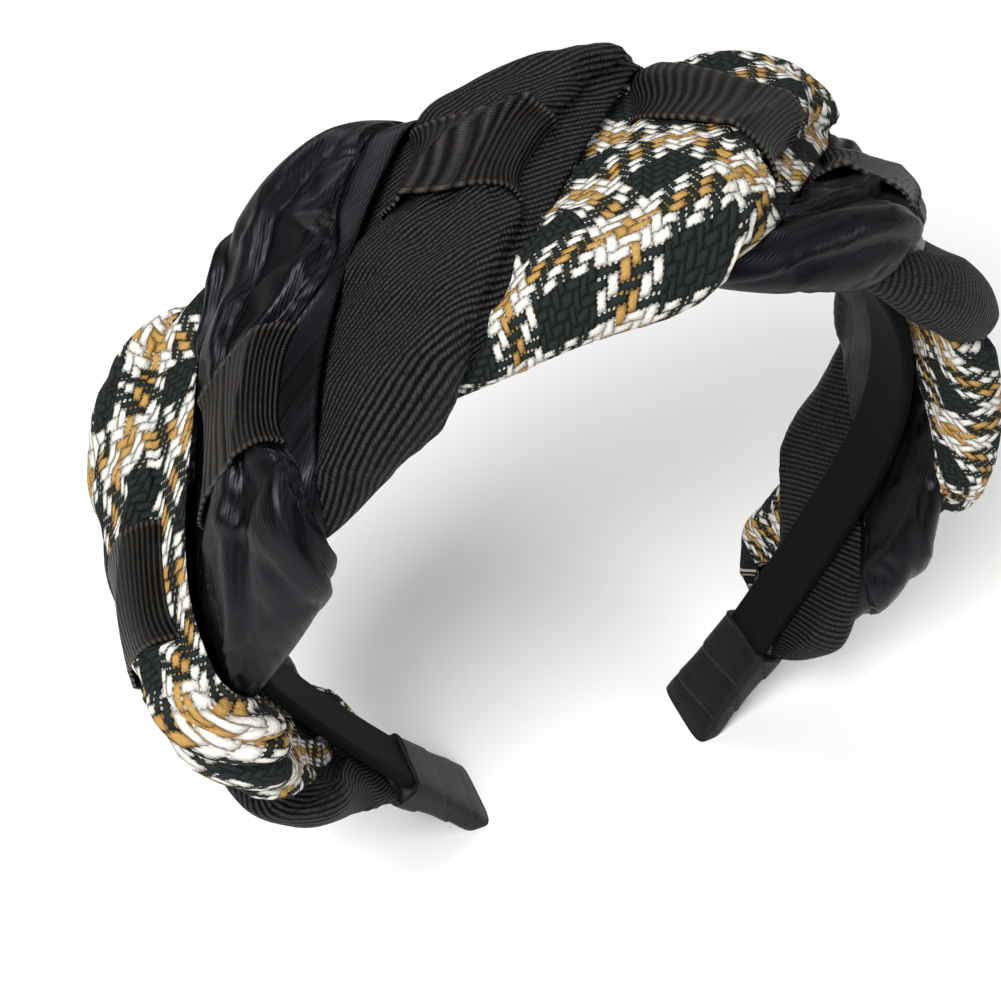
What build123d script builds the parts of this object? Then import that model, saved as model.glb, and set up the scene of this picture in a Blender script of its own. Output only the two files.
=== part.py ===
"""Braided headband: three fabric strands wound over a covered hoop and tied with a narrow ribbon."""

import math
import os
from collections import namedtuple

from build123d import *

os.makedirs("parts", exist_ok=True)

# Band, measured along its inner face from end to end
BAND_LENGTH = 370.0
CROWN_RADIUS = 65.0
CROWN_ARC = 64.0
SHOULDER_RADIUS = 52.0
SHOULDER_ARC = 53.0
LEG_RADIUS = 400.0

# Hard hoop in its ribbon cover
HOOP_WIDTH = 12.0
HOOP_THICKNESS = 2.6
HOOP_ROUNDING = 0.9

# Ribbon wound round each end of the band
END_WRAP_LENGTH = 24.5
END_WRAP_WIDTH = 15.5
END_WRAP_FLARE = 1.8
END_WRAP_WALL = 1.0
END_WRAP_RISE = 7.2
END_WRAP_TIP = 5.0
END_WRAP_ROUNDING = 1.1
HOOP_INSET = 4.4

# Braid
BRAID_WIDTH = 58.0
STRAND_WIDTH = 34.0
INNER_PAD = 3.05
UNDER_PAD = 2.5
EDGE_PAD = 4.2
TWEED_PAD = 5.6
SATIN_PAD = 4.0
RIBBED_PAD = 3.5
SATIN_FOLD = 0.8
SHINGLE = 1.5
OVERLAP = 0.6

# Narrow ribbon that ties each strand where it crosses the top
RIBBON_WIDTH = 17.0
RIBBON_THICKNESS = 0.9

# Gaps between neighbouring pieces
FABRIC_GAP = 0.5
RIBBON_GAP = 0.8
HOOP_GAP = 0.3
SLEEVE_GAP = 0.2

# Facets along and round the soft pieces
STRAND_STATIONS = 80
STRAND_RUNGS = 10
RIBBON_STATIONS = 4
RIBBON_RUNGS = 10

BAND_HALF = BAND_LENGTH / 2
BRAID_HALF = BAND_HALF - END_WRAP_LENGTH
CORE = INNER_PAD + FABRIC_GAP / 2

# Reach of the braid to the near and the far side of the hoop and the droop of its near edge towards
# the head, as shares of half its width, and its fullness, at shares of its half length
Reach = namedtuple("Reach", "place near far fullness droop")
REACHES = (
    Reach(-1.00, 0.35, 0.35, 0.36, 0.00),
    Reach(-0.93, 0.52, 0.60, 0.80, 0.06),
    Reach(-0.81, 0.74, 0.80, 1.08, 0.14),
    Reach(-0.69, 0.91, 0.94, 1.20, 0.20),
    Reach(-0.44, 1.06, 1.00, 1.02, 0.20),
    Reach(-0.19, 0.97, 1.02, 1.00, 0.08),
    Reach(0.06, 0.97, 1.02, 1.00, 0.05),
    Reach(0.31, 0.86, 1.10, 1.00, 0.07),
    Reach(0.56, 0.64, 0.95, 0.93, 0.12),
    Reach(0.75, 0.67, 0.90, 0.95, 0.12),
    Reach(0.92, 0.58, 0.74, 0.82, 0.07),
    Reach(1.00, 0.35, 0.35, 0.36, 0.00),
)

# Turns of a strand round the hoop: a whole number lies on the near edge, a half on the far edge,
# at places given as shares of the braid's half length
Turn = namedtuple("Turn", "place turns")
TWEED_TURNS = (
    Turn(-1.03, -0.5),
    Turn(-0.63, 0.0),
    Turn(-0.48, 0.5),
    Turn(-0.04, 1.0),
    Turn(0.30, 1.5),
    Turn(0.54, 2.0),
    Turn(0.94, 2.5),
    Turn(1.11, 3.0),
)
SATIN_TURNS = (
    Turn(-1.11, -1.0),
    Turn(-0.89, -0.5),
    Turn(-0.40, 0.0),
    Turn(-0.22, 0.5),
    Turn(0.14, 1.0),
    Turn(0.50, 1.5),
    Turn(0.74, 2.0),
    Turn(1.03, 2.5),
)
RIBBED_TURNS = (
    Turn(-1.16, -1.5),
    Turn(-0.85, -1.0),
    Turn(-0.66, -0.5),
    Turn(-0.24, 0.0),
    Turn(0.04, 0.5),
    Turn(0.31, 1.0),
    Turn(0.70, 1.5),
    Turn(0.95, 2.0),
    Turn(1.12, 2.5),
)

# Where round its turn a strand is tied, its share of the room, how far a tie narrows it, its padding
# on top, the roundness of its edges, its lengthwise folds and how deep they are
Strand = namedtuple("Strand", "turns tie width squeeze pad roundness folds fold_depth")
STRANDS = {
    "tweed": Strand(TWEED_TURNS, 0.24, 1.2, 0.22, TWEED_PAD, 2.3, 0, 0.0),
    "satin": Strand(SATIN_TURNS, 0.20, 1.0, 0.30, SATIN_PAD, 2.3, 3, SATIN_FOLD),
    "ribbed": Strand(RIBBED_TURNS, 0.31, 0.85, 0.22, RIBBED_PAD, 2.6, 0, 0.0),
}
ABOVE = {"tweed": ("ribbed", 1), "satin": ("tweed", 0), "ribbed": ("satin", 0)}
BELOW = {"tweed": ("satin", 0), "satin": ("ribbed", 0), "ribbed": ("tweed", -1)}

# Shares that shape a strand's section
LEAN = 0.3
TIE_FLATTENING = 0.12
UNDER_LEAN = 0.5
WIDTH_DEPTH = 0.52

# The narrow ribbon's hold along a strand, its tuck beneath the strand in degrees, and the share of
# the braid that it ties
TIE_SPREAD = 0.62
TUCK_ANGLE = 20.0
TIE_REGION = 0.83

# Ribbon wound round the ends: sections from the braid to the foot
EndWrap = namedtuple("EndWrap", "place width height")
END_WRAP = (
    EndWrap(BRAID_HALF + FABRIC_GAP, END_WRAP_WIDTH, END_WRAP_RISE + END_WRAP_WALL),
    EndWrap(BAND_HALF - END_WRAP_LENGTH / 2, END_WRAP_WIDTH, END_WRAP_TIP + END_WRAP_WALL),
    EndWrap(BAND_HALF + HOOP_INSET, END_WRAP_WIDTH + END_WRAP_FLARE, END_WRAP_TIP),
)

# Points nearer than this are one point
FLAT = 0.001


def hoop_line(place):
    """Point of the band's inner line, and its outward direction, at a distance from the crown."""
    left = abs(place)
    x = z = angle = 0.0
    for radius, length in ((CROWN_RADIUS, CROWN_ARC), (SHOULDER_RADIUS, SHOULDER_ARC), (LEG_RADIUS, math.inf)):
        turned = angle + min(left, length) / radius
        x += radius * (math.sin(turned) - math.sin(angle))
        z += radius * (math.cos(turned) - math.cos(angle))
        angle = turned
        left -= length
        if left <= 0:
            break
    side = math.copysign(1, place)
    return side * x, z, side * math.sin(angle), math.cos(angle)


def from_hoop(place, across, height):
    """Point at a place along the hoop, a distance across it and a height over its inner face."""
    x, z, out_x, out_z = hoop_line(place)
    return x + out_x * height, across, z + out_z * height


def blend(rows, place):
    """Values of a table's columns after the first, eased between its rows."""
    place = min(max(place, rows[0][0]), rows[-1][0])
    low, high = next((a, b) for a, b in zip(rows, rows[1:]) if place <= b[0])
    share = (place - low[0]) / (high[0] - low[0])
    share = share * share * (3 - 2 * share)
    return [a + (b - a) * share for a, b in zip(low[1:], high[1:])]


def oval(place):
    """Oval round which the strands are wound: its two ends across, half height, level and fullness."""
    near, far, full, _ = blend(REACHES, place / BRAID_HALF)
    half = CORE * full
    inset = EDGE_PAD * full + half
    level = HOOP_THICKNESS + HOOP_GAP + (UNDER_PAD + CORE) * full
    return inset - near * BRAID_WIDTH / 2, far * BRAID_WIDTH / 2 - inset, half, level, full


def girth(place):
    """Length once round the oval, measured within the padding."""
    near_end, far_end, half, _, full = oval(place)
    return 2 * (far_end - near_end) + 2 * math.pi * (half + WIDTH_DEPTH * EDGE_PAD * full)


def bearing(place, turn):
    """Point across the oval's core, and the angle from upright at which the padding stands on it."""
    near_end, far_end, half, _, full = oval(place)
    radius = half + WIDTH_DEPTH * EDGE_PAD * full
    flat = far_end - near_end
    quarter = math.pi * radius / 2
    way = (turn % 1.0) * girth(place)
    if way < quarter:
        return near_end, way / radius - math.pi / 2
    if way < quarter + flat:
        return near_end + way - quarter, 0.0
    if way < 3 * quarter + flat:
        return far_end, (way - quarter - flat) / radius
    if way < 3 * quarter + 2 * flat:
        return far_end - (way - 3 * quarter - flat), math.pi
    return near_end, (way - girth(place)) / radius - math.pi / 2


def on_oval(place, turn, height):
    """Point at a height over the oval, a share of a turn on from its near edge over the top."""
    across, angle = bearing(place, turn)
    _, _, half, level, _ = oval(place)
    across += (half + height) * math.sin(angle)
    level += (half + height) * math.cos(angle)
    # Beside the hoop, the near edge droops towards the head
    beside = max(-across - HOOP_WIDTH / 2, 0) / (BRAID_WIDTH / 2 - HOOP_WIDTH / 2)
    droop = blend(REACHES, place / BRAID_HALF)[3] * BRAID_WIDTH / 2
    return from_hoop(place, across, level - droop * beside ** 2)


def underside(place, turn):
    """Share by which a point of the braid lies beneath: 0 on the top, 1 over the hoop."""
    return math.sin(bearing(place, turn)[1] / 2) ** 4


def turns_at(name, place):
    """Turns that a strand has made at a place, smooth and rising all the way."""
    rows = [(row.place * BRAID_HALF, row.turns) for row in STRANDS[name].turns]
    rise = [(b[1] - a[1]) / (b[0] - a[0]) for a, b in zip(rows, rows[1:])]
    inner = [2 * a * b / (a + b) for a, b in zip(rise, rise[1:])]
    slope = [rise[0]] + inner + [rise[-1]]
    row = next((i for i in range(len(rise)) if place <= rows[i + 1][0]), len(rise) - 1)
    span = rows[row + 1][0] - rows[row][0]
    t = (place - rows[row][0]) / span
    start = (1 + 2 * t) * (1 - t) ** 2 * rows[row][1] + t * (1 - t) ** 2 * slope[row] * span
    return start + t * t * (3 - 2 * t) * rows[row + 1][1] - t * t * (1 - t) * slope[row + 1] * span


def heading(name, place):
    """Share of a strand's way that runs along the hoop, and the share that runs round it."""
    climb = (turns_at(name, place + 0.5) - turns_at(name, place - 0.5)) * girth(place)
    return 1 / math.hypot(1, climb), climb / math.hypot(1, climb)


def across_strand(name, place, offset):
    """Place and turn at an offset square to a strand's middle line, ahead of it where positive."""
    along, around = heading(name, place)
    return place - offset * around, turns_at(name, place) + offset * along / girth(place)


def ties(name):
    """Places where a strand is tied as it crosses the top, apart from those by the ends."""
    found = []
    crossing = STRANDS[name].tie
    for whole in range(-2, 4):
        low, high = -TIE_REGION * BRAID_HALF, TIE_REGION * BRAID_HALF
        if turns_at(name, low) < whole + crossing < turns_at(name, high):
            for _ in range(40):
                middle = (low + high) / 2
                if turns_at(name, middle) < whole + crossing:
                    low = middle
                else:
                    high = middle
            found.append(low)
    return found


TIES = {name: ties(name) for name in STRANDS}


def squeeze(name, place):
    """How tightly the narrow ribbon holds a strand at a place: 1 under it, 0 away from it."""
    hold = 0.0
    for tie in TIES[name]:
        away = (place - tie) / heading(name, tie)[0]
        hold = max(hold, math.exp(-((away / (TIE_SPREAD * RIBBON_WIDTH)) ** 4)))
    return hold


def half_width(name, place, side):
    """Width of a strand to one side of its middle line, as far as its share of the room goes."""
    natural = STRAND_WIDTH / 2 * girth(place) / girth(0.0)
    neighbour, shift = ABOVE[name] if side > 0 else BELOW[name]
    own, other = STRANDS[name].width, STRANDS[neighbour].width
    low, high = 0.0, 2 * natural
    for _ in range(24):
        offset = (low + high) / 2
        here, turn = across_strand(name, place, side * offset)
        next_turn = turns_at(neighbour, here) + shift
        edge = (turns_at(name, here) * other + next_turn * own) / (own + other)
        if (turn - edge) * side < 0:
            low = offset
        else:
            high = offset
    # Where this strand or its neighbour is tied, the strand leaves room for the ribbon
    along, around = heading(neighbour, here)
    away = (turn - turns_at(neighbour, here) - shift) * girth(here) * along
    tied = max(squeeze(neighbour, here + away * around), squeeze(name, place))
    overlap = OVERLAP * oval(place)[4] * (1 - underside(here, turn)) * (1 - tied)
    gap = FABRIC_GAP / 2 * underside(here, turn) + (RIBBON_GAP + RIBBON_THICKNESS + FABRIC_GAP) * tied
    return min(natural, low + overlap - gap) * (1 - STRANDS[name].squeeze * squeeze(name, place))


def paddings(name, place, share, turn, hold):
    """Heights of a strand's outer and inner face over the oval, at a share of its half width."""
    strand = STRANDS[name]
    full = oval(place)[4]
    under = underside(place, turn)
    swell = max(1 - abs(share) ** strand.roundness, 0) ** (1 / strand.roundness)
    lean = -SHINGLE * share * (1 - UNDER_LEAN * under)
    pad = strand.pad + (UNDER_PAD - strand.pad) * under
    fold = strand.fold_depth * math.cos(math.pi * strand.folds * share) * swell * (1 - under)
    if not strand.folds:
        fold = 0.0
    outer = lean + (pad * (1 - LEAN * share) * swell + fold) * (1 - TIE_FLATTENING * hold)
    outer = min(outer, UNDER_PAD + (strand.pad + SHINGLE) * (1 - under))
    inner = lean - INNER_PAD * swell
    return outer * full, max(inner * full, FABRIC_GAP / 2 - CORE * full)


def strand_section(name, place):
    """Pairs of points on a strand's outer and inner face, from one side of it to the other."""
    sides = {side: half_width(name, place, side) for side in (-1, 1)}
    hold = squeeze(name, place)
    rungs = []
    for i in range(STRAND_RUNGS + 1):
        share = 2 * i / STRAND_RUNGS - 1
        offset = share * sides[1 if share > 0 else -1]
        here, turn = across_strand(name, place, offset)
        outer, inner = paddings(name, here, share, turn, hold)
        rungs.append((on_oval(here, turn, outer), on_oval(here, turn, inner)))
    return rungs


def ribbon_section(name, place):
    """Pairs of points on the outer and inner face of the ribbon that ties a strand."""
    strand = STRANDS[name]
    sides = {side: half_width(name, place, side) for side in (-1, 1)}
    rungs = []
    for i in range(RIBBON_RUNGS + 1):
        angle = math.radians((180 + 2 * TUCK_ANGLE) * i / RIBBON_RUNGS - TUCK_ANGLE)
        share = math.copysign(abs(math.cos(angle)) ** (2 / strand.roundness), math.cos(angle))
        rise = math.copysign(abs(math.sin(angle)) ** (2 / strand.roundness), math.sin(angle))
        if rise > 0:
            pad = strand.pad * (1 - LEAN * share) * (1 - TIE_FLATTENING) + strand.fold_depth
        else:
            pad = INNER_PAD
        pair = []
        for gap in (RIBBON_GAP + RIBBON_THICKNESS, RIBBON_GAP):
            offset = share * (sides[1 if share > 0 else -1] + gap)
            here, turn = across_strand(name, place, offset)
            pair.append(on_oval(here, turn, (rise * pad - SHINGLE * share) * oval(here)[4] + rise * gap))
        rungs.append(tuple(pair))
    return rungs


def loop_of(rungs):
    """Closed loop of points through a section's rungs, with shared ends taken once."""
    outer = [rung[0] for rung in rungs]
    inner = [rung[1] for rung in rungs]
    if math.dist(*rungs[0]) < FLAT:
        inner = inner[1:]
    if math.dist(*rungs[-1]) < FLAT:
        inner = inner[:-1]
    return outer + inner[::-1]


def moved(point):
    """Point in the part's own frame, with its origin under the middle of the standing headband."""
    return point[0] - MIDDLE_X, point[1] - MIDDLE_Y, point[2] + CROWN_HEIGHT


def facet(faces, *corners):
    """Adds a triangle, unless two of its corners meet."""
    sides = zip(corners, corners[1:] + corners[:1])
    if min(math.dist(a, b) for a, b in sides) > FLAT:
        faces.append(Face(Wire.make_polygon([moved(corner) for corner in corners], close=True)))


def skin(sections):
    """Closed solid through a row of sections, with each quad split along the hoop on both faces."""
    faces = []
    loops = [loop_of(rungs) for rungs in sections]
    for first, second in zip(loops, loops[1:]):
        for i in range(len(first)):
            a, b = first[i - 1], first[i]
            c, d = second[i], second[i - 1]
            if 0 < i < len(sections[0]):
                facet(faces, a, b, d)
                facet(faces, b, c, d)
            else:
                facet(faces, a, b, c)
                facet(faces, a, c, d)
    for rungs in (sections[0], sections[-1]):
        for (outer, inner), (next_outer, next_inner) in zip(rungs, rungs[1:]):
            facet(faces, outer, next_outer, next_inner)
            facet(faces, outer, next_inner, inner)
    return Solid(Shell(faces))


def spread(first, last, count):
    """Evenly spaced values from the first to the last."""
    return [first + (last - first) * i / count for i in range(count + 1)]


def strand_places(name, first, last, count):
    """Places along a strand that divide its way from the first to the last into even steps."""
    fine = spread(first, last, 10 * count)
    ways = [0.0]
    for a, b in zip(fine, fine[1:]):
        ways.append(ways[-1] + (b - a) / heading(name, (a + b) / 2)[0])
    steps = spread(0.0, ways[-1], count)
    return [fine[min(range(len(fine)), key=lambda i: abs(ways[i] - step))] for step in steps]


def hoop_plane(place, height=0.0):
    """Plane square to the hoop, X across it towards the far side and Y away from the head."""
    _, _, out_x, out_z = hoop_line(place)
    return Plane(moved(from_hoop(place, 0, height)), x_dir=(0, 1, 0), z_dir=(out_z, 0, -out_x))


def hoop_arc(first, last, height):
    """Arc of the band's line between two places on one of its bends."""
    places = (first, (first + last) / 2, last)
    return ThreePointArc(*[moved(from_hoop(place, 0, height)) for place in places])


# Sections of the soft pieces, about the crown
strand_sections = {}
for name in STRANDS:
    reach = BRAID_HALF - STRAND_WIDTH / 2 * REACHES[0].near
    places = strand_places(name, -reach, reach, STRAND_STATIONS)
    strand_sections[name] = [strand_section(name, place) for place in places]

ribbon_sections = []
for tie, name in sorted((tie, name) for name in STRANDS for tie in TIES[name]):
    reach = RIBBON_WIDTH / 2 * heading(name, tie)[0]
    places = spread(tie - reach, tie + reach, RIBBON_STATIONS)
    ribbon_sections.append([ribbon_section(name, place) for place in places])

# The origin lies on the floor under the middle of the headband
rungs = [rung for sections in strand_sections.values() for section in sections for rung in section]
rungs += [rung for sections in ribbon_sections for section in sections for rung in section]
points = [point for rung in rungs for point in rung]
MIDDLE_X = (min(point[0] for point in points) + max(point[0] for point in points)) / 2
MIDDLE_Y = (min(point[1] for point in points) + max(point[1] for point in points)) / 2
CROWN_HEIGHT = -hoop_line(BAND_HALF)[1]

# Hard hoop in its ribbon cover
HOOP_END = BAND_HALF - HOOP_INSET
BENDS = (CROWN_ARC + SHOULDER_ARC, CROWN_ARC)
with BuildPart() as hoop:
    with BuildLine() as hoop_path:
        hoop_arc(-HOOP_END, -BENDS[0], HOOP_THICKNESS / 2)
        hoop_arc(-BENDS[0], -BENDS[1], HOOP_THICKNESS / 2)
        hoop_arc(-BENDS[1], BENDS[1], HOOP_THICKNESS / 2)
        hoop_arc(BENDS[1], BENDS[0], HOOP_THICKNESS / 2)
        hoop_arc(BENDS[0], HOOP_END, HOOP_THICKNESS / 2)
    with BuildSketch(hoop_plane(-HOOP_END, HOOP_THICKNESS / 2)):
        RectangleRounded(HOOP_WIDTH, HOOP_THICKNESS, HOOP_ROUNDING)
    sweep()
hoop.part.label = "hoop"
export_step(hoop.part, "parts/hoop.step")

# Strands of the braid
for name, sections in strand_sections.items():
    solid = skin(sections)
    with BuildPart() as strand:
        add(solid)
    strand.part.label = f"{name}_strand"
    export_step(strand.part, f"parts/{name}_strand.step")

# Narrow ribbon over each crossing, from the left end to the right
for number, sections in enumerate(ribbon_sections, 1):
    solid = skin(sections)
    with BuildPart() as ribbon_tie:
        add(solid)
    ribbon_tie.part.label = f"ribbon_tie_{number}"
    export_step(ribbon_tie.part, f"parts/ribbon_tie_{number}.step")

# Ribbon wound round the ends, flattened where the headband stands
for label, side in (("end_wrap_left", -1), ("end_wrap_right", 1)):
    cavity = (side * END_WRAP[0].place, side * (HOOP_END + SLEEVE_GAP))
    with BuildPart() as end_wrap:
        for row in END_WRAP:
            with BuildSketch(hoop_plane(side * row.place, row.height / 2 - END_WRAP_WALL)):
                RectangleRounded(row.width, row.height, END_WRAP_ROUNDING)
        loft()
        split(bisect_by=Plane.XY, keep=Keep.TOP)
        with BuildLine():
            hoop_arc(*cavity, HOOP_THICKNESS / 2)
        with BuildSketch(hoop_plane(cavity[0], HOOP_THICKNESS / 2)):
            Rectangle(HOOP_WIDTH + 2 * SLEEVE_GAP, HOOP_THICKNESS + 2 * SLEEVE_GAP)
        sweep(mode=Mode.SUBTRACT)
    end_wrap.part.label = label
    export_step(end_wrap.part, f"parts/{label}.step")
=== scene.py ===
# %% [markdown]
# # A braided headband
# This lesson dresses a headband that was built elsewhere at its real size: a hard hoop, three padded
# strands wound over it, a narrow ribbon that ties each strand down, and a ribbon wound round each end.
# The solids arrive as a fixed frame. Every new piece stands in the same place as the solid it stands for.

# %% Load the fixed frame
import math
from collections import namedtuple

import bmesh
import bpy
import numpy as np
from mathutils import Euler, Matrix, Vector


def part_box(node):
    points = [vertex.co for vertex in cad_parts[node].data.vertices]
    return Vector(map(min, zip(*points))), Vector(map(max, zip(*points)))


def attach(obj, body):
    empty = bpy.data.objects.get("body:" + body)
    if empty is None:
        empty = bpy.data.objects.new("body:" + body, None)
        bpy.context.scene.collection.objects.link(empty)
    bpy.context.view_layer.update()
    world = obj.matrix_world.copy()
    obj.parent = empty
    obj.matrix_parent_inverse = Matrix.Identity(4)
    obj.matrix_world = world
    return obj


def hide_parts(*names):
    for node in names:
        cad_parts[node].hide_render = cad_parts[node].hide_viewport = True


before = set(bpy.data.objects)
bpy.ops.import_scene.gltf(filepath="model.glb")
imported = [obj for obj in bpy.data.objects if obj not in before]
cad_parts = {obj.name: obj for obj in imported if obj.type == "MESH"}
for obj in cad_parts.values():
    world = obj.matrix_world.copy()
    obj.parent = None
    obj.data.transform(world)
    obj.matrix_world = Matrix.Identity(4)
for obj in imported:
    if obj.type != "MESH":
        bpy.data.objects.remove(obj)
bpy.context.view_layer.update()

MM = 0.001
print("nodes", sorted(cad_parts))

# %% [markdown]
# ## Where things are
# The hoop's inner line is five arcs, a crown, two shoulders and two legs, so one number, the distance
# from the crown along that line, says how far round the head a point is. A second number says how far
# across, and a third how high over the line. All the soft pieces are worked out in those three numbers,
# and one function puts them into the frame. Each function takes a whole array of places at once, because
# a cloth has tens of thousands of points and a loop over them would be slow.

# %% Sizes of the hoop and the braid, in millimetres
BAND_LENGTH = 370.0
ARCS = ((65.0, 64.0), (52.0, 53.0), (400.0, 1000.0))
HOOP_WIDTH, HOOP_THICKNESS, HOOP_GAP = 12.0, 2.6, 0.3
END_WRAP_LENGTH = 24.5
BRAID_WIDTH, STRAND_WIDTH = 58.0, 34.0
INNER_PAD, UNDER_PAD, EDGE_PAD = 3.05, 2.5, 4.2
SHINGLE, OVERLAP = 1.5, 0.6
RIBBON_WIDTH, RIBBON_THICKNESS, RIBBON_GAP = 17.0, 0.9, 0.8
FABRIC_GAP = 0.5
UNDER_SPREAD = 3.0
BAND_HALF = BAND_LENGTH / 2
BRAID_HALF = BAND_HALF - END_WRAP_LENGTH
CORE = INNER_PAD + FABRIC_GAP / 2

# Shares that shape a strand's section
LEAN, TIE_FLATTENING, UNDER_LEAN, WIDTH_DEPTH = 0.3, 0.12, 0.5, 0.52
TIE_SPREAD, TIE_REGION, MOST_SPREAD = 0.62, 0.83, 2.2

# How often a search halves the stretch that it looks in
HALVINGS = 18

hoop_low, hoop_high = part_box("hoop")
CROWN = np.array([(low + high) / 2 for low, high in zip(hoop_low, hoop_high)])
CROWN[2] = hoop_high[2] - HOOP_THICKNESS * MM
print("crown of the hoop's inner line, mm", [round(float(value) / MM, 2) for value in CROWN])

# %% From places on the hoop to points in the frame
def hoop_line(place):
    """Points of the hoop's inner line, and its outward directions, at distances from the crown."""
    left = np.abs(place)
    x = z = angle = 0.0
    for radius, length in ARCS:
        run = np.clip(left, 0, length)
        turned = angle + run / radius
        x = x + radius * (np.sin(turned) - np.sin(angle))
        z = z + radius * (np.cos(turned) - np.cos(angle))
        angle = turned
        left = left - run
    side = np.where(place < 0, -1.0, 1.0)
    return side * x, z, side * np.sin(angle), np.cos(angle)


def from_hoop(place, across, height):
    """Points of the frame at places along the hoop, distances across it and heights over its line."""
    x, z, out_x, out_z = hoop_line(place)
    return CROWN + np.stack([x + out_x * height, across + 0 * x, z + out_z * height], axis=-1) * MM


print("left end, mm", np.round(from_hoop(np.array(-BAND_HALF), 0.0, 0.0) / MM, 1))

# %% [markdown]
# ## The braid's plan
# Three strands are wound round the hoop like a rope laid flat. Each row of the tables says where along
# the hoop a strand lies on the near edge (a whole number of turns) or on the far edge (a half). The
# braid's reach to either side, its fullness and the droop of its near edge have a table too. Places are
# shares of the braid's half length. The same plan made the solids.

# %% Tables of the braid
Reach = namedtuple("Reach", "place near far fullness droop")
REACHES = (
    Reach(-1.00, 0.35, 0.35, 0.36, 0.00),
    Reach(-0.93, 0.52, 0.60, 0.80, 0.06),
    Reach(-0.81, 0.74, 0.80, 1.08, 0.14),
    Reach(-0.69, 0.91, 0.94, 1.20, 0.20),
    Reach(-0.44, 1.06, 1.00, 1.02, 0.20),
    Reach(-0.19, 0.97, 1.02, 1.00, 0.08),
    Reach(0.06, 0.97, 1.02, 1.00, 0.05),
    Reach(0.31, 0.86, 1.10, 1.00, 0.07),
    Reach(0.56, 0.64, 0.95, 0.93, 0.12),
    Reach(0.75, 0.67, 0.90, 0.95, 0.12),
    Reach(0.92, 0.58, 0.74, 0.82, 0.07),
    Reach(1.00, 0.35, 0.35, 0.36, 0.00),
)
Turn = namedtuple("Turn", "place turns")
TWEED_TURNS = (
    Turn(-1.03, -0.5), Turn(-0.63, 0.0), Turn(-0.48, 0.5), Turn(-0.04, 1.0),
    Turn(0.30, 1.5), Turn(0.54, 2.0), Turn(0.94, 2.5), Turn(1.11, 3.0),
)
SATIN_TURNS = (
    Turn(-1.11, -1.0), Turn(-0.89, -0.5), Turn(-0.40, 0.0), Turn(-0.22, 0.5),
    Turn(0.14, 1.0), Turn(0.50, 1.5), Turn(0.74, 2.0), Turn(1.03, 2.5),
)
RIBBED_TURNS = (
    Turn(-1.16, -1.5), Turn(-0.85, -1.0), Turn(-0.66, -0.5), Turn(-0.24, 0.0), Turn(0.04, 0.5),
    Turn(0.31, 1.0), Turn(0.70, 1.5), Turn(0.95, 2.0), Turn(1.12, 2.5),
)
Strand = namedtuple("Strand", "turns tie width squeeze pad roundness")
STRANDS = {
    "tweed": Strand(TWEED_TURNS, 0.24, 1.2, 0.22, 5.6, 2.3),
    "satin": Strand(SATIN_TURNS, 0.20, 1.0, 0.30, 4.0, 2.3),
    "ribbed": Strand(RIBBED_TURNS, 0.31, 0.85, 0.22, 3.5, 2.6),
}
ABOVE = {"tweed": ("ribbed", 1), "satin": ("tweed", 0), "ribbed": ("satin", 0)}
BELOW = {"tweed": ("satin", 0), "satin": ("ribbed", 0), "ribbed": ("tweed", -1)}


# %% The flat oval that the strands are wound round
def blend(rows, place):
    """Values of a table's columns after the first, eased between its rows."""
    table = np.array(rows)
    place = np.clip(place, table[0, 0], table[-1, 0])
    row = np.clip(np.searchsorted(table[:, 0], place), 1, len(table) - 1)
    low, high = table[row - 1], table[row]
    share = (place - low[..., 0]) / (high[..., 0] - low[..., 0])
    share = (share * share * (3 - 2 * share))[..., None]
    return np.moveaxis(low[..., 1:] + (high[..., 1:] - low[..., 1:]) * share, -1, 0)


def oval(place):
    """The oval's two ends across, its half height, its level over the hoop's line and its fullness."""
    near, far, full, _ = blend(REACHES, place / BRAID_HALF)
    half = CORE * full
    inset = EDGE_PAD * full + half
    level = HOOP_THICKNESS + HOOP_GAP + (UNDER_PAD + CORE) * full
    return inset - near * BRAID_WIDTH / 2, far * BRAID_WIDTH / 2 - inset, half, level, full


def girth(place):
    """Length once round the oval, measured within the padding."""
    near_end, far_end, half, _, full = oval(place)
    return 2 * (far_end - near_end) + 2 * np.pi * (half + WIDTH_DEPTH * EDGE_PAD * full)


def bearing(place, turn):
    """Points across the oval's core, and the angles from upright at which the padding stands on it."""
    near_end, far_end, half, _, full = oval(place)
    radius = half + WIDTH_DEPTH * EDGE_PAD * full
    flat = far_end - near_end
    quarter = np.pi * radius / 2
    way = (turn % 1.0) * (2 * flat + 4 * quarter)
    parts = [way < quarter, way < quarter + flat, way < 3 * quarter + flat, way < 3 * quarter + 2 * flat]
    across = [near_end, near_end + way - quarter, far_end, far_end - (way - 3 * quarter - flat)]
    angle = [way / radius - np.pi / 2, 0 * way, (way - quarter - flat) / radius, np.pi + 0 * way]
    last = (way - 2 * flat - 4 * quarter) / radius - np.pi / 2
    return np.select(parts, across, near_end), np.select(parts, angle, last)


def on_oval(place, turn, height):
    """Points at heights over the oval, shares of a turn on from its near edge over the top."""
    across, angle = bearing(place, turn)
    _, _, half, level, _ = oval(place)
    across = across + (half + height) * np.sin(angle)
    level = level + (half + height) * np.cos(angle)
    beside = np.clip(-across - HOOP_WIDTH / 2, 0, None) / (BRAID_WIDTH / 2 - HOOP_WIDTH / 2)
    droop = blend(REACHES, place / BRAID_HALF)[3] * BRAID_WIDTH / 2
    return from_hoop(place, across, level - droop * beside ** 2)


def underside(place, turn):
    """Share by which points of the braid lie beneath: 0 on the top, 1 over the hoop."""
    return np.sin(bearing(place, turn)[1] / 2) ** 4


print("girth of the braid at the crown, mm", np.round(girth(np.array(0.0)), 1))


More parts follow.
